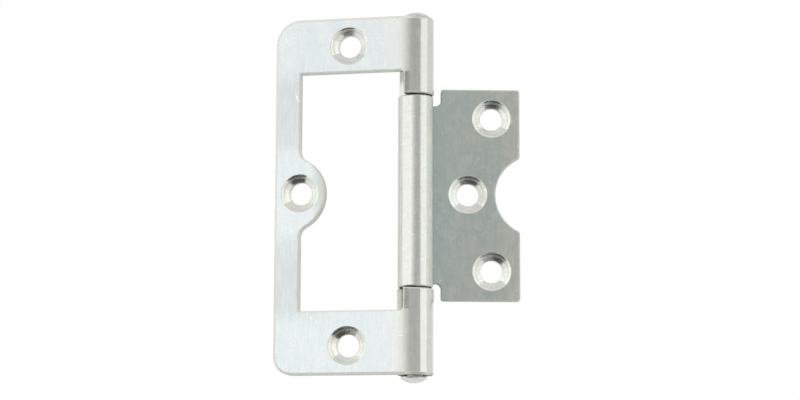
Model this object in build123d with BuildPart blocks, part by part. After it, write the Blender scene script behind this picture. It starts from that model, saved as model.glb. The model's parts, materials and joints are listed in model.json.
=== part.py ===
from build123d import *
import os
from math import cos, radians, sin

# Flush hinge: two leaves pressed from one gauge of sheet steel and rolled round one riveted pin.
# The outer leaf is an open frame, and the inner leaf folds into its opening, so that the closed
# hinge is as thin as one leaf. It is modelled lying open a little past flat.
#
# Millimetres. X runs across the leaves, Y through the sheet, and Z up along the pin. The origin is
# on the back of the outer leaf, half way between its two end screw holes.

# Sheet and pin
sheet = 2.6
pin_diameter = 4.5
running_clearance = 0.05
outer_knuckle_slack = 0.25
edge_chamfer = 0.35
tolerance = 0.01

# How far the sheet is rolled round the pin, and where it leaves its leaf: angles about the pin
full_curl = 295
top_knuckle_curl = 254
from_front = -90
from_back = 90

# The roll starts gently, over this angle, on arcs that are wider than the knuckle by this much
lead_angle = 27
lead_widening = 7.9

# Outer leaf: its reach is from the pin's axis, and its knuckles run past the bars into the opening
leaf_height = 100
outer_reach = 38.9
side_bar = 7.1
top_bar = 15.5
bottom_bar = 17.7
top_corner_radius = 7.0
bottom_corner_radius = 5.3
opening_corner_radius = 0.6
top_knuckle_overhang = 6.35
bottom_knuckle_overhang = 6.2
knuckle_edge = 2.3
knuckle_edge_radius = 0.8
cut_past_back = 0.5

# Lobe round the middle screw hole of the outer leaf: its reach is from the free edge of the leaf
lobe_height = 0.6
lobe_reach = 14.4
lobe_radius = 10.7
lobe_fillet = 3.0

# Gaps round the inner leaf when it lies in the opening, with its notch round the lobe
inner_side_gap = 2.45
inner_top_gap = 3.75
inner_bottom_gap = 3.25
knuckle_gap = 0.3
notch_gap = 2.0
notch_rise = 0.25
notch_radius_gap = 0.7

# Inner leaf
notch_corner_radius = 1.0
inner_corner_radius = 0.8
knuckle_root = 0.6
relief_width = 3.0
relief_depth = 4.75
relief_corner_radius = 1.5
opened_past_flat = 13.5

# Screw holes, countersunk on the faces that show when the hinge is open
screw_hole_diameter = 6.3
countersink_diameter = 10.8
countersink_angle = 110
end_hole_reach = 17.9
end_hole_to_end = 8.0
inner_end_hole_to_end = 8.3
inner_end_hole_to_edge = 7.95
inner_middle_hole_to_notch = 7.75

# Domed heads of the pin
head_diameter = 7.3
head_height = 1.8
head_rim = 0.5
head_rim_chamfer = 0.15
upper_head_gap = 0.15
upper_head_offset = 0.25
lower_head_gap = 0.3
lower_head_offset = -0.4

# Radii of the rolled knuckles
pin_radius = pin_diameter / 2
outer_bore = pin_radius + outer_knuckle_slack
inner_bore = pin_radius + running_clearance
outer_knuckle_radius = outer_bore + sheet
inner_knuckle_radius = inner_bore + sheet

# The lead into the roll starts this far short of the pin, and sets the pin back by this much
roll_start = lead_widening * sin(radians(lead_angle))
pin_set_back = lead_widening * (1 - cos(radians(lead_angle)))

# The pin's axis
pin_x = end_hole_reach
pin_y = outer_bore + pin_set_back

# Heights
leaf_top = leaf_height / 2
leaf_bottom = -leaf_height / 2
opening_top = leaf_top - top_bar
opening_bottom = leaf_bottom + bottom_bar
top_knuckle_end = opening_top - top_knuckle_overhang
bottom_knuckle_end = opening_bottom + bottom_knuckle_overhang
inner_knuckle_top = top_knuckle_end - knuckle_gap
inner_knuckle_bottom = bottom_knuckle_end + knuckle_gap
inner_top = opening_top - inner_top_gap
inner_bottom = opening_bottom + inner_bottom_gap
notch_height = lobe_height + notch_rise

# Distances from the pin's axis
lobe_tip = outer_reach - lobe_reach
notch_bottom = lobe_tip - notch_gap
notch_radius = lobe_radius + notch_radius_gap
inner_reach = outer_reach - side_bar - inner_side_gap
relief_start = roll_start + knuckle_root
relief_reach = relief_start + relief_width

# The outer leaf is drawn in outer_back, the plane of its back face, whose normal comes out of the
# countersunk front. The inner leaf has planes of its own, turned about the pin.
outer_back = Plane.XZ
turn = radians(opened_past_flat)
along_inner = (cos(turn), sin(turn), 0)
out_of_inner = (sin(turn), -cos(turn), 0)
axis_to_inner_back = inner_knuckle_radius + pin_set_back
inner_back = Plane((pin_x, pin_y, 0), along_inner, out_of_inner).offset(-axis_to_inner_back)
inner_section = Plane((pin_x, pin_y, 0), along_inner, (0, 0, 1))
outer_section = Plane((pin_x, pin_y, 0), (1, 0, 0), (0, 0, 1))

os.makedirs("parts", exist_ok=True)


def draw_span(left, right, bottom, top):
    """Rectangle between two distances across a leaf and two heights."""
    with Locations(((left + right) / 2, (bottom + top) / 2)):
        Rectangle(right - left, top - bottom)


def roll_knuckle(section, bore, start_angle, curl, bottom, top):
    """Roll the sheet round the pin from the line where it leaves its leaf: the lead, and then an
    open ring that is tangent to it."""
    ring_angle = start_angle + lead_angle
    lead_x = -lead_widening * cos(radians(ring_angle))
    lead_y = -lead_widening * sin(radians(ring_angle))
    with BuildSketch(section.offset(bottom)) as roll:
        with BuildLine():
            outside = CenterArc((0, 0), bore + sheet, ring_angle, curl - lead_angle)
            inside = CenterArc((0, 0), bore, ring_angle, curl - lead_angle)
            lead_outside = CenterArc(
                (lead_x, lead_y), bore + sheet + lead_widening, start_angle, lead_angle
            )
            lead_inside = CenterArc((lead_x, lead_y), bore + lead_widening, start_angle, lead_angle)
            Line(lead_outside @ 0, lead_inside @ 0)
            Line(outside @ 1, inside @ 1)
        make_face()
    extrude(roll.sketch, amount=top - bottom)


def punch_screw_holes(face, places):
    """Countersunk screw holes through a leaf, with their mouths in the given face."""
    with Locations(face):
        with Locations(*places):
            CounterSinkHole(
                radius=screw_hole_diameter / 2,
                counter_sink_radius=countersink_diameter / 2,
                counter_sink_angle=countersink_angle,
            )


def ease_edges(leaf, back, knuckle_radius):
    """Ease what the punch draws over: the outline of the front face, then the knuckles' ends."""
    front = leaf.faces().filter_by(back).sort_by(Axis(back.origin, back.z_dir))[-1]
    outline = front.edges().filter_by(lambda edge: reach_of(edge, back) > roll_start + tolerance)
    screw_rims = outline.filter_by(lambda edge: is_arc(edge, countersink_diameter / 2))
    chamfer(outline - screw_rims, edge_chamfer)
    chamfer(leaf.edges().filter_by(lambda edge: is_arc(edge, knuckle_radius)), edge_chamfer)


def reach_of(edge, back):
    """How far the middle of an edge lies from the pin, along its leaf."""
    return abs((edge @ 0.5 - Vector(pin_x, pin_y, 0)).dot(back.x_dir))


def is_arc(edge, radius):
    return edge.geom_type == GeomType.CIRCLE and abs(edge.radius - radius) < tolerance


# Outer leaf
with BuildPart() as outer_leaf:
    free_edge = pin_x - outer_reach
    with BuildSketch(outer_back) as outer_outline:
        draw_span(free_edge, pin_x - roll_start, leaf_bottom, leaf_top)
        fillet(outer_outline.vertices().group_by(Axis.X)[0].sort_by(Axis.Y)[-1], top_corner_radius)
        fillet(outer_outline.vertices().group_by(Axis.X)[0].sort_by(Axis.Y)[0], bottom_corner_radius)
    extrude(amount=sheet)

    roll_knuckle(outer_section, outer_bore, from_front, top_knuckle_curl, top_knuckle_end, leaf_top)
    roll_knuckle(outer_section, outer_bore, from_front, full_curl, leaf_bottom, bottom_knuckle_end)

    bar_edge = free_edge + side_bar
    knuckle_cut = pin_x - knuckle_edge
    with BuildSketch(outer_back.offset(-cut_past_back)) as opening:
        draw_span(bar_edge, knuckle_cut, opening_bottom, opening_top)
        with Locations((pin_x - lobe_tip - lobe_radius, lobe_height)):
            Circle(lobe_radius, mode=Mode.SUBTRACT)
        on_the_bar = opening.vertices().group_by(Axis.X)[0].sort_by(Axis.Y)
        fillet(on_the_bar[1:-1], lobe_fillet)
        fillet((on_the_bar[0], on_the_bar[-1]), opening_corner_radius)
        fillet(opening.vertices().group_by(Axis.X)[-1], knuckle_edge_radius)
        draw_span(knuckle_cut, pin_x, bottom_knuckle_end, top_knuckle_end)
    extrude(amount=cut_past_back + sheet, mode=Mode.SUBTRACT)

    middle_of_lobe = (outer_reach + lobe_tip) / 2
    punch_screw_holes(
        outer_back.offset(sheet),
        [
            (pin_x - end_hole_reach, leaf_top - end_hole_to_end),
            (pin_x - middle_of_lobe, lobe_height),
            (pin_x - end_hole_reach, leaf_bottom + end_hole_to_end),
        ],
    )

    ease_edges(outer_leaf, outer_back, outer_knuckle_radius)

outer_leaf.part.label = "outer_leaf"
export_step(outer_leaf.part, "parts/outer_leaf.step")

# Inner leaf
with BuildPart() as inner_leaf:
    with BuildSketch(inner_back) as inner_outline:
        draw_span(roll_start, relief_start, inner_knuckle_bottom, inner_knuckle_top)
        draw_span(relief_start, relief_reach, inner_bottom + relief_depth, inner_top - relief_depth)
        draw_span(relief_reach, inner_reach, inner_bottom, inner_top)
        for side, radius in ((0, inner_corner_radius), (-1, relief_corner_radius)):
            relief_corners = inner_outline.vertices().filter_by_position(
                Axis.Y, inner_bottom + relief_depth, inner_top - relief_depth
            )
            fillet(relief_corners.group_by(Axis.X)[side], radius)
        with Locations((notch_bottom + notch_radius, notch_height)):
            Circle(notch_radius, mode=Mode.SUBTRACT)
        corners = inner_outline.vertices()
        fillet(corners.group_by(Axis.Y)[0] + corners.group_by(Axis.Y)[-1], inner_corner_radius)
        free_edge_corners = inner_outline.vertices().group_by(Axis.X)[-1].sort_by(Axis.Y)
        fillet(free_edge_corners[1:-1], notch_corner_radius)
    extrude(amount=sheet)

    roll_knuckle(
        inner_section, inner_bore, from_back, full_curl, inner_knuckle_bottom, inner_knuckle_top
    )

    punch_screw_holes(
        inner_back.offset(sheet),
        [
            (inner_reach - inner_end_hole_to_edge, inner_top - inner_end_hole_to_end),
            (notch_bottom - inner_middle_hole_to_notch, notch_height),
            (inner_reach - inner_end_hole_to_edge, inner_bottom + inner_end_hole_to_end),
        ],
    )

    ease_edges(inner_leaf, inner_back, inner_knuckle_radius)

inner_leaf.part.label = "inner_leaf"
export_step(inner_leaf.part, "parts/inner_leaf.step")


def form_head(centre, outward):
    """Rivet a low dome onto one end of the pin; outward is 1 upwards and -1 downwards."""
    with BuildSketch(Plane(centre, (1, 0, 0), (0, -outward, 0))) as half_section:
        with BuildLine():
            dome = TangentArc((0, head_height), (head_diameter / 2, head_rim), tangent=(1, 0))
            Polyline(dome @ 1, (head_diameter / 2, 0), (0, 0), dome @ 0)
        make_face()
        chamfer(half_section.vertices().group_by(Axis.X)[-1], head_rim_chamfer)
    revolve(half_section.sketch, axis=Axis(centre, (0, 0, 1)))


# Hinge pin
with BuildPart() as hinge_pin:
    pin_bottom = leaf_bottom - lower_head_gap
    pin_top = leaf_top + upper_head_gap
    with BuildSketch(outer_section.offset(pin_bottom)):
        Circle(pin_radius)
    extrude(amount=pin_top - pin_bottom)
    form_head((pin_x + upper_head_offset, pin_y, pin_top), 1)
    form_head((pin_x + lower_head_offset, pin_y, pin_bottom), -1)

hinge_pin.part.label = "hinge_pin"
export_step(hinge_pin.part, "parts/hinge_pin.step")
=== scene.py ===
import json
from math import cos, pi, radians, sin
from types import SimpleNamespace

import bpy
from mathutils import Matrix, Vector

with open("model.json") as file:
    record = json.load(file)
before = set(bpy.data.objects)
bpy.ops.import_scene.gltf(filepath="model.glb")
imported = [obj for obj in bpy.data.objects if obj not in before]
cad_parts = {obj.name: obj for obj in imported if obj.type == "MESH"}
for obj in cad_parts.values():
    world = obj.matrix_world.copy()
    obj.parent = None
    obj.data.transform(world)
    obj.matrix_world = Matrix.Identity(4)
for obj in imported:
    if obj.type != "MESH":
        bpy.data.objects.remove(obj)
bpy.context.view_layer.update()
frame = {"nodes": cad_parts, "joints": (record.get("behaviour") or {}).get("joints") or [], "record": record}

# Flush hinge in bright zinc plate, seen from its countersunk side. The frame holds all its pieces,
# and this scene gives them their surfaces: rolling grain, cloudy patches in the plating, tool rings
# in the countersinks, torn metal on the punched edges, and small specks and scratches.
#
# The scene is in metres, in the frame's own axes. Inside the materials, lengths are millimetres.
# A pair of limits is where a smooth step starts and where it ends, so the second may be the lower.

MM = 0.001
UP = Vector((0, 0, 1))

# Camera, as the photograph was taken
CAMERA_TARGET = Vector((14.77, -2.6, -2.07)) * MM
CAMERA_AZIMUTH = radians(12.06)
CAMERA_ELEVATION = radians(-8.57)
CAMERA_ROLL = radians(0.197)
CAMERA_DISTANCE = 569.5 * MM
CAMERA_LENS = 93.07
CAMERA_CLIP_START = 10 * MM

# Soft boxes: an azimuth is measured from the front of the hinge, towards its inner leaf. Each adds
# its radiance to the level of the room behind it, and fades out between two places across it. The
# right one's fade starts past its edge, so it is even.
SOFT_BOX_DISTANCE = 0.75
SOFT_BOX_ELEVATION = 18
SOFT_BOX_HEIGHT = 0.78
SOFT_BOXES = {
    "left_soft_box": {"azimuth": -35, "width": 2.22, "radiance": 0.62, "fade": (0.62, 0.97)},
    "right_soft_box": {"azimuth": 66, "width": 0.60, "radiance": 0.60, "fade": (1.0, 1.01)},
}

# Room round the hinge: how bright each side of it is, and between which parts of a direction,
# upwards or backwards, the next level sets in
FRONT_LEVEL = 0.47
OVERHEAD_LEVEL = 0.74
SIDE_LEVEL = 0.80
BACKDROP_LEVEL = 1.0
OVERHEAD_LIMITS = (0.45, 0.8)
SIDE_LIMITS = (-0.2, 0.1)
BACKDROP_LIMITS = (0.8, 0.92)

FLOOR_HEIGHT = -0.16
FLOOR_SIZE = 3.0
FLOOR_COLOUR = (0.90, 0.90, 0.89, 1)
STAGE_ROUGHNESS = 0.6

# Dark card on the floor before the hinge, as product studios use it: the upper walls of the
# countersinks reflect it
CARD_CORNERS = (
    (-0.15, -0.155), (0.06, -0.185), (0.20, -0.085), (0.20, -0.033), (-0.14, -0.047),
)
CARD_LIFT = 0.005
CARD_COLOUR = (0.05, 0.05, 0.05, 1)

# Looks: each gives the plating of one leaf.
# tints: three colours that its clouds mix
# barrel, near_barrel, free_edge, cone: colours of its barrel, of the sheet next to the barrel, of
# its worn free edge and of its countersinks
# edge: how strongly its edges take a painted highlight, partly rubbed wear
# clouds, brushing: how strong its clouds and its rolling grain are
# roughness, wear: how rough it is, and how much rougher where it is worn
# wear_limits: heights, up and down alike, between which the wear sets in
# painted_top_shade: painted shade, how much brighter its upper end is than its middle; below 0 it is darker
# shaded_roll_over: reaches between which the punch has drawn its lobe over, and painted shade stands for its
# rounded edge
# free_end_shade: painted shade, how much darker the free ends of its knuckles are
# dark_reflection_streak: painted dark reflection, how much darker a streak down its barrel is
# nicks: for each its reach and height from the pin, its half width and its half height
OUTER_LOOK = {
    "tints": ((0.80, 0.85, 0.84, 1), (0.76, 0.82, 0.83, 1), (0.83, 0.84, 0.81, 1)),
    "barrel": (0.82, 0.82, 0.765, 1), "near_barrel": (0.80, 0.84, 0.83, 1),
    "free_edge": (0.70, 0.75, 0.745, 1), "cone": (0.90, 0.91, 0.86, 1),
    "edge": 0.7, "clouds": 0.9, "brushing": 1.15, "roughness": 0.20, "wear": 0.10,
    "wear_limits": (9, 17), "painted_top_shade": -0.06, "shaded_roll_over": (29.0, 25.4), "free_end_shade": 0.44,
    "dark_reflection_streak": 0.0,
    "nicks": (
        (32.8, 27.8, 0.30, 0.9), (32.3, 26.8, 0.22, 0.6), (28.2, -34.2, 0.22, 0.7),
        (26.6, -35.4, 0.5, 0.12), (2.75, -39.4, 1.3, 0.12), (5.95, -43.2, 0.2, 0.2),
        (36.9, -16.0, 0.2, 0.2), (21.0, 37.2, 0.16, 0.3),
    ),
}
# The inner leaf's tints are darker than the outer's, though the plating is the same: painted shade
INNER_LOOK = {
    "tints": ((0.665, 0.72, 0.655, 1), (0.61, 0.68, 0.65, 1), (0.70, 0.71, 0.63, 1)),
    "barrel": (0.84, 0.845, 0.79, 1), "near_barrel": (0.575, 0.66, 0.63, 1),
    "free_edge": (0.735, 0.75, 0.665, 1), "cone": (0.915, 0.935, 0.885, 1),
    "edge": 0.2, "clouds": 1.3, "brushing": 1.1, "roughness": 0.22, "wear": 0.04,
    "wear_limits": (-2, -1), "painted_top_shade": -0.04, "shaded_roll_over": (-20, -21), "free_end_shade": 0.0,
    "dark_reflection_streak": 0.22,
    "nicks": (
        (6.7, 26.5, 0.2, 0.25), (7.1, -23.4, 0.25, 0.2), (28.9, 14.6, 0.3, 0.2),
        (7.5, 18.1, 0.16, 0.16), (17.7, 10.8, 0.18, 0.16), (8.1, -3.7, 0.16, 0.2),
        (-0.85, -11.6, 0.2, 0.2), (24.0, -9.5, 0.14, 0.14),
    ),
}

# Places on the leaves: distances from the pin's axis or from a hole's, reaches, heights and depths.
# The borders of the worn strip and of the sheet next to the barrel wander with the broad clouds.
KNUCKLE_RADIUS = 5.1
BARREL_LIMITS = (KNUCKLE_RADIUS + 0.5, KNUCKLE_RADIUS + 0.05)
BORE_LIMITS = (KNUCKLE_RADIUS - 2.0, KNUCKLE_RADIUS - 2.4)
SKIN_LIMITS = (KNUCKLE_RADIUS - 0.3, KNUCKLE_RADIUS)
CUT_END_LIMITS = (KNUCKLE_RADIUS, KNUCKLE_RADIUS - 1.0)
PAST_BARREL_LIMITS = (5.5, 6.5)
COUNTERSINK_RADIUS = 5.4
HOLE_LIMITS = (COUNTERSINK_RADIUS + 0.05, COUNTERSINK_RADIUS - 0.05)
EDGE_RADIUS = 0.25
WORN_LIMITS = (20, 33)
WORN_WANDER = 4
WORN_HEIGHTS = (37, 30)
LOBE_HEIGHTS = (11, 9)
OPENING_TOP_LIMITS = (34.5, 33.9)
OPENING_BOTTOM_LIMITS = (-32.3, -31.7)
# Where the painted shade at a knuckle's free end lies
FREE_END_LIMITS = ((0.0, 1.4), (2.1, 1.85))
FREE_END_DEPTH = (2.0, 3.5)
# Where the painted dark reflection lies down the barrel
STREAK_REACH = -0.55
STREAK_LIMITS = (1.0, 0.15)
STREAK_DEPTH = (0, 1)
NEAR_BARREL_LIMITS = (17, 9)
NEAR_BARREL_WANDER = 8
WARM_LIMITS = (4.4, 3.0)
LEAF_END = 40

# How far a surface is turned to the front or back, where 1 is flat on
SIDE_ON_LIMITS = (0.5, 0.3)
CONE_LIMITS = (0.97, 0.93)
BROKEN_LIMITS = ((0.985, 0.95), (0.1, 0.3))

# How far a surface is turned up or down, where 1 is level
BARREL_END_LIMITS = (0.85, 0.95)
RIM_LIMITS = (0.2, 0.4)
NOT_LEVEL_LIMITS = (0.6, 0.4)
TILTED_LIMITS = (0.1, 0.25)

# How near the rounded normal is to the smooth one, where 1 is the same
ROUNDED_LIMITS = (0.998, 0.95)

# Colours of what marks the plating, and the tints that multiply it
# Painted highlight: the pale colour of the rounded edges, partly rubbed wear
EDGE_HIGHLIGHT_COLOUR = (0.98, 0.96, 0.90, 1)
MARK_COLOUR = (0.99, 0.99, 0.96, 1)
# Painted shade on the lobe's drawn-over edge, where the rounding turns away from the light
ROLL_OVER_SHADE_TINT = (0.82, 0.82, 0.77, 1)
TORN_TINT = (0.93, 0.89, 0.81, 1)
CUT_END_TINT = (0.80, 0.79, 0.74, 1)
# Painted shade: the dark brown of the knuckle ends and the bores, between the parts
GAP_SHADE_TINT = (0.28, 0.24, 0.16, 1)
RING_TINT = (0.89, 0.88, 0.81, 1)

# Noise: the scale in cells per millimetre, along the leaf, up it and out of it, and the settings
BROAD_NOISE = ((0.07, 0.045, 0.07), 4.0, 0.6, 0.8)
MOTTLE_NOISE = ((0.36, 0.25, 0.36), 4.0, 0.65, 0.6)
FINE_NOISE = (1.7, 3.0, 0.6)
GRAIN_NOISE = ((5.0, 0.16, 5.0), 3.0, 0.6)
HAIRLINE_NOISE = ((11.0, 0.05, 11.0), 2.0, 0.5)
TURNED_NOISE = ((0.25, 6.0, 0.25), 2.0, 0.6)
TEAR_NOISE = ((3.2, 3.2, 0.4), 3.0, 0.7)
RING_NOISE = (1.0, 3.0, 0.7)
RINGS_PER_MM = 2.6
RING_WOBBLE = 0.8
PATCH_NOISE = (0.11, 2.0, 0.5)

# Between which values of its noise each thing sets in
CLOUD_LIMITS = (0.36, 0.62)
MOTTLE_LIMITS = (0.48, 0.82)
RING_LIMITS = (0.45, 0.62)
DULL_RING_LIMITS = (0.46, 0.57)
TEAR_LIMITS = (0.3, 0.7)
PATCH_LIMITS = (0.58, 0.70)

# How much of its own colour or tint each thing takes
NEAR_BARREL_SHARE = 0.85
WORN_SHARE = 0.85
BARREL_SHARE = 0.9
MARK_SHARE = 0.85
TORN_SHARES = (0.4, 1.0)
GAP_SHADE_SHARE = 0.9

# How strongly each kind of noise shades the plating. Its grain is weaker at the top of a leaf.
MOTTLE_SHADE = 0.17
FINE_SHADE = 0.16
TOP_GRAIN_SHADE = 0.10
BOTTOM_GRAIN_SHADE = 0.17
WORN_SHADE = 0.25
TURNED_SHADE = 0.16
BASE_SHADE = 0.98
# Height where the painted shade of the upper end is full
PAINTED_TOP_SHADE_END = 45

# How far from a nick's middle it fades, where 1 is its half width or half height. Then specks in
# some of the cells of a cell texture, and hair scratches along the borders of others, which give
# for each direction how much it slants and how close its scratches lie.
NICK_LIMITS = (1.0, 0.5)
SPECK_CELLS = 0.33
SPECK_LIMITS = (0.075, 0.04)
SPECK_CHOICE = (0.72, 0.74)
SCRATCHES = ((0.12, 0.22), (-0.5, 0.14), (1.7, 0.12))
SCRATCH_STRETCH = 0.12
SCRATCH_LIMITS = (0.010, 0.002)
SCRATCH_STRENGTH = 0.35

# Roughness: what is taken off each look's own, what its noise adds, and what isn't plain plating
ROUGHNESS_CUT = 0.09
BROAD_ROUGHNESS = 0.08
FINER_ROUGHNESS = 0.06
RING_ROUGHNESS = (0.09, 0.33)
CUT_ROUGHNESS = 0.48
RIM_ROUGHNESS = 0.5
EDGE_ROUGHNESS = 0.8
GAP_ROUGHNESS = 0.55

# Relief, in millimetres: waves in the sheet, orange peel, grain, specks, rings and tears
BROAD_RELIEF = 0.030
MOTTLE_RELIEF = 0.0045
FINE_RELIEF = 0.0012
GRAIN_RELIEF = 0.0016
HAIRLINE_RELIEF = 0.0009
MARK_RELIEF = -0.006
RING_RELIEF = 0.045
TEAR_RELIEF = 0.10

# Pin: two colours that its dimples mix, and the tints of its upper head and of its dull specks
PIN_COLOURS = ((0.83, 0.84, 0.80, 1), (0.92, 0.92, 0.90, 1))
UPPER_HEAD_TINT = (0.84, 0.84, 0.82, 1)
DULL_TINT = (0.7, 0.68, 0.6, 1)
DIMPLE_NOISE = (0.9, 3.0, 0.6)
PIN_FINE_NOISE = (4.0, 3.0, 0.6)
DIMPLE_LIMITS = (0.35, 0.65)
DULL_LIMITS = (0.55, 0.75)
DULL_SHARE = 0.35
UPPER_HEAD_LIMITS = (-10, 10)
PIN_FINE_LIMITS = (0.3, 0.7)
PIN_ROUGHNESS = (0.26, 0.42)
DIMPLE_RELIEF = 0.12
PIN_FINE_RELIEF = 0.008

BEVEL_SAMPLES = 8

joint = next(joint for joint in frame["joints"] if joint["name"] == "leaf_swing")
pin_axis = Vector(joint["pos_m"])
mounts = {mount["name"]: mount for mount in frame["record"]["mounts"]}
hole_spacing = mounts["outer_leaf_screws"]["dims"]["spacing_y_mm"] * MM


def make_camera():
    """The photograph's camera: a long lens, a little to the right of the hinge and below it."""
    back = Vector((
        sin(CAMERA_AZIMUTH) * cos(CAMERA_ELEVATION),
        -cos(CAMERA_AZIMUTH) * cos(CAMERA_ELEVATION),
        sin(CAMERA_ELEVATION),
    ))
    level = Vector((cos(CAMERA_AZIMUTH), sin(CAMERA_AZIMUTH), 0))
    right = cos(CAMERA_ROLL) * level + sin(CAMERA_ROLL) * back.cross(level)
    camera = bpy.data.objects.new("camera", bpy.data.cameras.new("camera"))
    camera.data.lens = CAMERA_LENS
    camera.data.clip_start = CAMERA_CLIP_START
    turn = Matrix((right, back.cross(right), back)).transposed().to_4x4()
    camera.matrix_world = Matrix.Translation(CAMERA_TARGET + CAMERA_DISTANCE * back) @ turn
    bpy.context.collection.objects.link(camera)
    bpy.context.scene.camera = camera


def make_soft_box(name, azimuth, width, radiance, fade):
    """A large rectangular lamp that faces the hinge from the given direction."""
    a, e = radians(azimuth), radians(SOFT_BOX_ELEVATION)
    towards = Vector((sin(a) * cos(e), -cos(a) * cos(e), sin(e)))
    lamp = bpy.data.lights.new(name, "AREA")
    lamp.shape = "RECTANGLE"
    lamp.size, lamp.size_y = width, SOFT_BOX_HEIGHT
    lamp.energy = pi * radiance * width * SOFT_BOX_HEIGHT
    lamp.use_nodes = True
    g = Graph(lamp.node_tree)
    across = g.node("ShaderNodeNewGeometry").outputs["Parametric"]
    across = g.vector_math("DOT_PRODUCT", across, (1, 0, 0))
    strength = g.ramp(across, fade[1], fade[0])
    emission = g.node("ShaderNodeEmission", {"Strength": strength})
    g.node("ShaderNodeOutputLight", {"Surface": emission.outputs[0]})
    box = bpy.data.objects.new(name, lamp)
    facing = towards.to_track_quat("Z", "Y").to_matrix().to_4x4()
    box.matrix_world = Matrix.Translation(pin_axis + SOFT_BOX_DISTANCE * towards) @ facing
    box.visible_camera = False
    bpy.context.collection.objects.link(box)


def lay_sheet(name, corners, height, colour):
    """A plain level sheet of the stage with the given corners, in one matt colour."""
    mesh = bpy.data.meshes.new(name)
    mesh.from_pydata([(x, y, height) for x, y in corners], [], [range(len(corners))])
    material = bpy.data.materials.new(name)
    material.use_nodes = True
    shader = material.node_tree.nodes["Principled BSDF"]
    shader.inputs["Base Color"].default_value = colour
    shader.inputs["Roughness"].default_value = STAGE_ROUGHNESS
    mesh.materials.append(material)
    sheet = bpy.data.objects.new(name, mesh)
    bpy.context.collection.objects.link(sheet)
    return sheet


class Graph:
    """Short names for the nodes of one node tree. An input is a number, a tuple or a socket."""

    def __init__(self, tree):
        self.tree = tree
        self.tree.nodes.clear()

    def node(self, kind, inputs=(), **settings):
        node = self.tree.nodes.new(kind)
        for name, value in settings.items():
            setattr(node, name, value)
        for name, value in dict(inputs).items():
            if isinstance(value, bpy.types.NodeSocket):
                self.tree.links.new(value, node.inputs[name])
            else:
                node.inputs[name].default_value = value
        return node

    def math(self, operation, *values):
        return self.node("ShaderNodeMath", enumerate(values), operation=operation).outputs[0]

    def add(self, first, *rest):
        for value in rest:
            first = self.math("ADD", first, value)
        return first

    def multiply(self, first, *rest):
        for value in rest:
            first = self.math("MULTIPLY", first, value)
        return first

    def maximum(self, first, second):
        return self.math("MAXIMUM", first, second)

    def inverse(self, mask):
        return self.math("SUBTRACT", 1.0, mask)

    def about_zero(self, noise):
        """The noise, which lies about 0.5, moved to lie about 0."""
        return self.math("SUBTRACT", noise, 0.5)

    def vector_math(self, operation, *values):
        node = self.node("ShaderNodeVectorMath", enumerate(values), operation=operation)
        is_number = operation in ("DOT_PRODUCT", "LENGTH", "DISTANCE")
        return node.outputs["Value" if is_number else "Vector"]

    def combine(self, x, y, z):
        return self.node("ShaderNodeCombineXYZ", {"X": x, "Y": y, "Z": z}).outputs[0]

    def ramp(self, value, start, end, low=0.0, high=1.0):
        """Smooth step from low to high while the value goes from start to end."""
        inputs = {
            "Value": value, "From Min": start, "From Max": end, "To Min": low, "To Max": high,
        }
        node = self.node("ShaderNodeMapRange", inputs, interpolation_type="SMOOTHSTEP")
        return node.outputs[0]

    def noise(self, point, scale, detail, roughness, distortion=0.0):
        """Noise about 0.5. The scale is in cells per millimetre: one number, or one for each
        axis."""
        if isinstance(scale, tuple):
            point = self.vector_math("MULTIPLY", point, scale)
            scale = 1.0
        inputs = {
            "Vector": point, "Scale": scale, "Detail": detail,
            "Roughness": roughness, "Distortion": distortion,
        }
        return self.node("ShaderNodeTexNoise", inputs).outputs["Fac"]

    def cells(self, point, scale, feature="F1"):
        """Cell texture: the distance from the nearest cell's centre or border, and the cell's
        colour."""
        inputs = {"Vector": point, "Scale": scale}
        node = self.node("ShaderNodeTexVoronoi", inputs, feature=feature)
        return node.outputs["Distance"], node.outputs.get("Color")

    def mix(self, factor, first, second):
        """Mix of two colours."""
        inputs = {"Factor": factor, 6: first, 7: second}
        return self.node("ShaderNodeMix", inputs, data_type="RGBA").outputs[2]

    def blend(self, factor, first, second):
        """Mix of two numbers."""
        inputs = {"Factor": factor, 2: first, 3: second}
        return self.node("ShaderNodeMix", inputs, data_type="FLOAT").outputs[0]

    def tint(self, colour, factor, multiplier):
        """Multiply a colour by another, as far as the factor says."""
        inputs = {"Factor": factor, 6: colour, 7: multiplier}
        node = self.node("ShaderNodeMix", inputs, data_type="RGBA", blend_type="MULTIPLY")
        return node.outputs[2]

    def round_edges(self):
        """The normal with the edges rounded off."""
        inputs = {"Radius": EDGE_RADIUS * MM}
        return self.node("ShaderNodeBevel", inputs, samples=BEVEL_SAMPLES).outputs[0]

    def finish_metal(self, colour, roughness, relief, normal):
        """Bare metal with the given colour, roughness, relief in millimetres and normal."""
        inputs = {"Height": relief, "Distance": MM, "Normal": normal}
        bumped = self.node("ShaderNodeBump", inputs).outputs[0]
        inputs = {
            "Base Color": colour, "Metallic": 1.0, "Roughness": roughness, "Normal": bumped,
        }
        shader = self.node("ShaderNodeBsdfPrincipled", inputs)
        self.node("ShaderNodeOutputMaterial", {"Surface": shader.outputs[0]})


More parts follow.
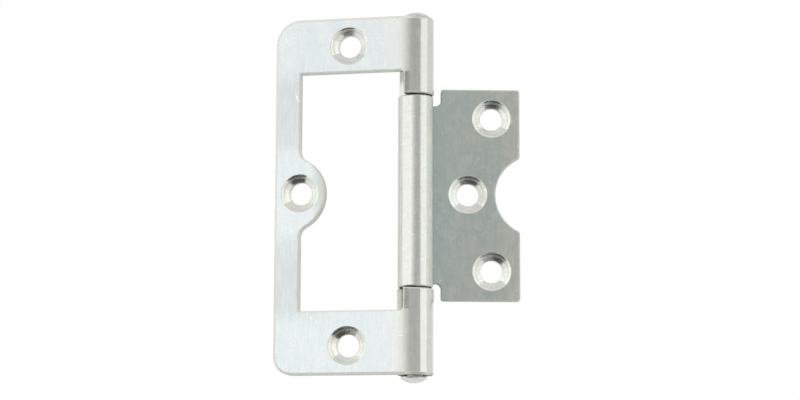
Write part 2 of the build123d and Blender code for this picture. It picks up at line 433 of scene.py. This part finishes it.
def light_room():
    """Plain room for the metal to reflect: a white backdrop behind the hinge, pale sides and top,
    and a grey front. The camera sees the backdrop's white on every side."""
    world = bpy.data.worlds.new("room")
    world.use_nodes = True
    g = Graph(world.node_tree)
    direction = g.node("ShaderNodeTexCoord").outputs["Generated"]
    backwards = g.vector_math("DOT_PRODUCT", direction, (0, 1, 0))
    upwards = g.vector_math("DOT_PRODUCT", direction, (0, 0, 1))
    level = g.ramp(upwards, *OVERHEAD_LIMITS, FRONT_LEVEL, OVERHEAD_LEVEL)
    level = g.blend(g.ramp(backwards, *SIDE_LIMITS), level, SIDE_LEVEL)
    ray = g.node("ShaderNodeLightPath").outputs
    mirrored = g.maximum(ray["Is Glossy Ray"], ray["Is Transmission Ray"])
    behind = g.multiply(mirrored, g.ramp(backwards, *BACKDROP_LIMITS))
    level = g.blend(behind, level, BACKDROP_LEVEL)
    level = g.blend(ray["Is Camera Ray"], level, BACKDROP_LEVEL)
    background = g.node("ShaderNodeBackground", {"Color": g.combine(level, level, level)})
    g.node("ShaderNodeOutputWorld", {"Surface": background.outputs[0]})
    bpy.context.scene.world = world


def lay_floor():
    """Plain pale floor under the hinge, and the card that only the metal sees."""
    half = FLOOR_SIZE / 2
    corners = ((-half, -half), (half, -half), (half, half), (-half, half))
    lay_sheet("floor", corners, FLOOR_HEIGHT, FLOOR_COLOUR)
    card = lay_sheet("dark_card", CARD_CORNERS, FLOOR_HEIGHT + CARD_LIFT, CARD_COLOUR)
    card.visible_camera = card.visible_diffuse = card.visible_shadow = False


def make_material(name):
    """An empty material, and the graph of its nodes."""
    material = bpy.data.materials.new(name)
    material.use_nodes = True
    return material, Graph(material.node_tree)


def map_leaf(g, side, out, holes):
    """Places on a leaf and masks of its surfaces, from its place and its normal. The side is the
    way that it runs from the pin, out is the normal of its countersunk face, and the holes are
    places in the frame."""
    along = side * UP.cross(out)
    leaf = SimpleNamespace()

    # Reach along the leaf from the pin's axis, height up it, and depth out of it
    place = g.node("ShaderNodeTexCoord").outputs["Object"]
    offset = g.vector_math("SUBTRACT", place, tuple(pin_axis))
    leaf.reach = g.vector_math("DOT_PRODUCT", offset, tuple(along / MM))
    leaf.height = g.vector_math("DOT_PRODUCT", offset, tuple(UP / MM))
    leaf.depth = g.vector_math("DOT_PRODUCT", offset, tuple(out / MM))
    leaf.point = g.combine(leaf.reach, leaf.height, leaf.depth)
    leaf.on_front = g.combine(leaf.reach, leaf.height, 0.0)

    # How far the surface is turned to the front or back, and up or down
    normal = g.node("ShaderNodeNewGeometry").outputs["True Normal"]
    local = g.node(
        "ShaderNodeVectorTransform", {"Vector": normal},
        vector_type="NORMAL", convert_from="WORLD", convert_to="OBJECT",
    ).outputs[0]
    facing = g.math("ABSOLUTE", g.vector_math("DOT_PRODUCT", local, tuple(out)))
    upright = g.math("ABSOLUTE", g.vector_math("DOT_PRODUCT", local, tuple(UP)))
    side_on = g.ramp(facing, *SIDE_ON_LIMITS)

    # Barrels, their rims, their ends and their bores
    from_axis = g.vector_math("LENGTH", g.combine(leaf.reach, 0.0, leaf.depth))
    leaf.barrel = g.ramp(from_axis, *BARREL_LIMITS)
    leaf.rim = g.multiply(leaf.barrel, g.ramp(upright, *RIM_LIMITS))
    barrel_end = g.multiply(leaf.barrel, g.ramp(upright, *BARREL_END_LIMITS))
    bore = g.ramp(from_axis, *BORE_LIMITS)
    # Knuckle ends and bores, where painted shade goes between the parts
    leaf.greasy = g.maximum(barrel_end, bore)

    # Countersinks
    leaf.from_hole = None
    for hole in holes:
        centre = hole - pin_axis
        middle = (centre.dot(along) / MM, centre.dot(UP) / MM, 0)
        distance = g.vector_math("DISTANCE", leaf.on_front, middle)
        if leaf.from_hole:
            distance = g.math("MINIMUM", leaf.from_hole, distance)
        leaf.from_hole = distance
    leaf.in_hole = g.ramp(leaf.from_hole, *HOLE_LIMITS)
    leaf.cone = g.multiply(leaf.in_hole, g.ramp(facing, *CONE_LIMITS))

    # Punched edges, and the cut ends of the sheet where the knuckles close
    leaf.cut = g.multiply(side_on, g.inverse(leaf.barrel), g.inverse(leaf.in_hole))
    leaf.cut_end = g.multiply(
        g.ramp(leaf.reach, *CUT_END_LIMITS), side_on, g.ramp(upright, *NOT_LEVEL_LIMITS),
        g.inverse(g.ramp(from_axis, *SKIN_LIMITS)),
    )

    # Rounded edges: where rounding turns the normal, and on the narrow faces that break the edges
    leaf.rounded = g.round_edges()
    smooth = g.node("ShaderNodeNewGeometry").outputs["Normal"]
    broken = g.multiply(
        *(g.ramp(facing, *limits) for limits in BROKEN_LIMITS), g.inverse(leaf.in_hole),
        g.maximum(g.ramp(leaf.reach, *PAST_BARREL_LIMITS), g.ramp(upright, *TILTED_LIMITS)),
    )
    edge = g.ramp(g.vector_math("DOT_PRODUCT", leaf.rounded, smooth), *ROUNDED_LIMITS)
    leaf.edge = g.multiply(g.maximum(edge, broken), g.inverse(leaf.barrel))
    return leaf


def map_marks(g, leaf, nicks):
    """Mask of small nicks and specks, and of long hair scratches in a few directions."""
    nick = 0.0
    for nick_reach, nick_height, half_width, half_height in nicks:
        away = g.vector_math("SUBTRACT", leaf.on_front, (nick_reach, nick_height, 0))
        away = g.vector_math("MULTIPLY", away, (1 / half_width, 1 / half_height, 0))
        nick = g.maximum(nick, g.ramp(g.vector_math("LENGTH", away), *NICK_LIMITS))
    speck_distance, speck_cell = g.cells(leaf.point, SPECK_CELLS)
    chosen = g.ramp(g.vector_math("DOT_PRODUCT", speck_cell, (1, 0, 0)), *SPECK_CHOICE)
    speck = g.multiply(g.ramp(speck_distance, *SPECK_LIMITS), chosen)
    patches = g.ramp(g.noise(leaf.point, *PATCH_NOISE), *PATCH_LIMITS)
    scratch = 0.0
    for slope, density in SCRATCHES:
        slanted = g.add(leaf.reach, g.multiply(leaf.height, slope))
        skewed = g.combine(slanted, g.multiply(leaf.height, SCRATCH_STRETCH), leaf.depth)
        apart, _ = g.cells(skewed, density, "DISTANCE_TO_EDGE")
        scratch = g.maximum(scratch, g.multiply(g.ramp(apart, *SCRATCH_LIMITS), patches))
    return g.maximum(g.maximum(speck, nick), g.multiply(scratch, SCRATCH_STRENGTH))


def plate_leaf(name, side, out, holes, look):
    """Zinc plating of one rolled and punched leaf, in the given look."""
    material, g = make_material(name)
    leaf = map_leaf(g, side, out, holes)
    clouds = look["clouds"]

    # Plating: broad clouds, finer mottling, and rolling grain that runs up the sheet
    broad = g.noise(leaf.point, *BROAD_NOISE)
    mottle = g.noise(leaf.point, *MOTTLE_NOISE)
    fine = g.noise(leaf.point, *FINE_NOISE)
    grain = g.noise(leaf.point, *GRAIN_NOISE)
    hairline = g.noise(leaf.point, *HAIRLINE_NOISE)
    turned = g.noise(leaf.point, *TURNED_NOISE)

    # Where it is worn, and where shade or a dark reflection is painted on
    level = g.math("ABSOLUTE", leaf.height)
    worn = g.multiply(
        g.ramp(g.add(leaf.reach, g.multiply(broad, WORN_WANDER)), *WORN_LIMITS),
        g.ramp(level, *look["wear_limits"]), g.ramp(level, *WORN_HEIGHTS),
    )
    # Painted shade where the punch drew the lobe's edge over
    roll_over_shade = g.multiply(g.ramp(leaf.reach, *look["shaded_roll_over"]), g.ramp(level, *LOBE_HEIGHTS))
    # Painted shade at a knuckle's free end, where its cut end lies in shadow
    free_end_shade = g.multiply(
        *(g.ramp(leaf.reach, *limits) for limits in FREE_END_LIMITS),
        g.ramp(leaf.depth, *FREE_END_DEPTH),
        g.ramp(leaf.height, *OPENING_TOP_LIMITS), g.ramp(leaf.height, *OPENING_BOTTOM_LIMITS),
    )
    # Painted dark reflection: a darker streak down the barrel
    from_streak = g.math("ABSOLUTE", g.add(leaf.reach, -STREAK_REACH))
    dark_reflection_streak = g.multiply(
        leaf.barrel, g.ramp(from_streak, *STREAK_LIMITS), g.ramp(leaf.depth, *STREAK_DEPTH),
    )

    # Colour of the plating
    first, second, third = look["tints"]
    colour = g.mix(g.ramp(broad, *CLOUD_LIMITS, 0, clouds), first, second)
    colour = g.mix(g.ramp(mottle, *MOTTLE_LIMITS, 0, clouds), colour, third)
    wandering = g.add(leaf.reach, g.multiply(broad, NEAR_BARREL_WANDER))
    near_barrel = g.ramp(wandering, *NEAR_BARREL_LIMITS, 0, NEAR_BARREL_SHARE)
    colour = g.mix(near_barrel, colour, look["near_barrel"])
    colour = g.mix(g.multiply(worn, WORN_SHARE), colour, look["free_edge"])
    warm = g.maximum(leaf.barrel, g.ramp(leaf.reach, *WARM_LIMITS))
    colour = g.mix(g.multiply(warm, BARREL_SHARE), colour, look["barrel"])
    colour = g.mix(leaf.cone, colour, look["cone"])

    # Light and dark of the plating: tone that differs at random, and painted shade and a painted dark
    # reflection
    grain_shade = g.ramp(leaf.height, LEAF_END, -LEAF_END, TOP_GRAIN_SHADE, BOTTOM_GRAIN_SHADE)
    shade = g.add(
        g.multiply(g.about_zero(mottle), MOTTLE_SHADE * clouds),
        g.multiply(g.about_zero(fine), FINE_SHADE * clouds),
        g.multiply(g.about_zero(grain), grain_shade, look["brushing"]),
        g.multiply(worn, g.about_zero(grain), WORN_SHADE),
        g.multiply(leaf.barrel, g.about_zero(turned), TURNED_SHADE),
        # Painted shade at the knuckles' free ends, and a painted dark reflection down a barrel
        g.multiply(free_end_shade, -look["free_end_shade"]), g.multiply(dark_reflection_streak, -look["dark_reflection_streak"]),
        # Painted shade: the upper end of the leaf darker than its middle
        g.ramp(leaf.height, 0, PAINTED_TOP_SHADE_END, BASE_SHADE, BASE_SHADE + look["painted_top_shade"]),
    )
    colour = g.tint(colour, 1.0, g.combine(shade, shade, shade))
    # Painted shade on the lobe's drawn-over edge, away from its holes
    colour = g.tint(colour, g.multiply(roll_over_shade, g.inverse(leaf.in_hole)), ROLL_OVER_SHADE_TINT)

    # Marks, tool rings in the countersinks, torn metal on the punched edges, duller cut ends, a
    # painted highlight on the edges that is partly rubbed wear, and painted shade between the knuckles
    mark = map_marks(g, leaf, look["nicks"])
    colour = g.mix(g.multiply(mark, MARK_SHARE), colour, MARK_COLOUR)
    ring_place = g.combine(
        g.multiply(leaf.from_hole, RINGS_PER_MM), g.multiply(mottle, RING_WOBBLE), 0.0,
    )
    ring = g.noise(ring_place, *RING_NOISE)
    colour = g.tint(colour, g.multiply(leaf.cone, g.ramp(ring, *RING_LIMITS)), RING_TINT)
    tear = g.noise(leaf.point, *TEAR_NOISE)
    torn = g.multiply(leaf.cut, g.ramp(tear, *TEAR_LIMITS, *TORN_SHARES))
    colour = g.tint(colour, torn, TORN_TINT)
    colour = g.tint(colour, leaf.cut_end, CUT_END_TINT)
    # Painted highlight on the rounded edges, partly rubbed wear
    colour = g.mix(g.multiply(leaf.edge, look["edge"]), colour, EDGE_HIGHLIGHT_COLOUR)
    # Painted shade on the knuckle ends and in the bores, between the parts
    colour = g.tint(colour, g.multiply(leaf.greasy, GAP_SHADE_SHARE), GAP_SHADE_TINT)

    roughness = g.add(
        look["roughness"] - ROUGHNESS_CUT, g.multiply(broad, BROAD_ROUGHNESS),
        g.multiply(mottle, FINER_ROUGHNESS), g.multiply(grain, FINER_ROUGHNESS),
        g.multiply(worn, look["wear"]),
    )
    roughness = g.blend(leaf.cut, roughness, CUT_ROUGHNESS)
    ring_roughness = g.ramp(ring, *DULL_RING_LIMITS, *RING_ROUGHNESS)
    roughness = g.blend(leaf.cone, roughness, ring_roughness)
    roughness = g.blend(leaf.rim, roughness, RIM_ROUGHNESS)
    roughness = g.blend(leaf.edge, roughness, EDGE_ROUGHNESS)
    roughness = g.blend(leaf.greasy, roughness, GAP_ROUGHNESS)

    relief = g.add(
        g.multiply(broad, BROAD_RELIEF), g.multiply(mottle, MOTTLE_RELIEF),
        g.multiply(fine, FINE_RELIEF), g.multiply(grain, GRAIN_RELIEF * look["brushing"]),
        g.multiply(hairline, HAIRLINE_RELIEF), g.multiply(mark, MARK_RELIEF),
        g.multiply(leaf.cone, ring, RING_RELIEF), g.multiply(leaf.cut, tear, TEAR_RELIEF),
    )
    g.finish_metal(colour, roughness, relief, leaf.rounded)
    return material


def plate_pin():
    """Zinc plating of the pin: its heads are peened, so they are dimpled and a little duller."""
    material, g = make_material("plated_pin")
    place = g.node("ShaderNodeTexCoord").outputs["Object"]
    point = g.vector_math("SCALE", place)
    point.node.inputs["Scale"].default_value = 1 / MM
    dimple = g.noise(point, *DIMPLE_NOISE)
    fine = g.noise(point, *PIN_FINE_NOISE)
    colour = g.mix(g.ramp(dimple, *DIMPLE_LIMITS), *PIN_COLOURS)
    upper = g.ramp(g.vector_math("DOT_PRODUCT", point, tuple(UP)), *UPPER_HEAD_LIMITS)
    colour = g.tint(colour, upper, UPPER_HEAD_TINT)
    colour = g.tint(colour, g.ramp(fine, *DULL_LIMITS, 0, DULL_SHARE), DULL_TINT)
    roughness = g.ramp(fine, *PIN_FINE_LIMITS, *PIN_ROUGHNESS)
    relief = g.add(g.multiply(dimple, DIMPLE_RELIEF), g.multiply(fine, PIN_FINE_RELIEF))
    g.finish_metal(colour, roughness, relief, g.round_edges())
    return material


def dress(node, material):
    """Give a piece of the frame its material."""
    for slot in frame["nodes"][node].material_slots:
        slot.material = material


make_camera()
for box_name, settings in SOFT_BOXES.items():
    make_soft_box(box_name, **settings)
light_room()
lay_floor()

outer_out = Vector(mounts["outer_leaf_screws"]["axis"])
end_screws = Vector(mounts["outer_leaf_screws"]["pos_m"])
outer_holes = [
    end_screws + UP * hole_spacing / 2,
    end_screws - UP * hole_spacing / 2,
    Vector(mounts["outer_leaf_middle_screw"]["pos_m"]),
]
inner_out = -Vector(mounts["inner_leaf_back"]["axis"])
inner_holes = [
    Vector(mounts[f"inner_leaf_{end}_screw"]["pos_m"]) for end in ("top", "middle", "bottom")
]
dress("outer_leaf", plate_leaf("plated_outer_leaf", -1, outer_out, outer_holes, OUTER_LOOK))
dress("inner_leaf", plate_leaf("plated_inner_leaf", 1, inner_out, inner_holes, INNER_LOOK))
dress("hinge_pin", plate_pin())

bpy.context.scene.view_settings.view_transform = "Standard"
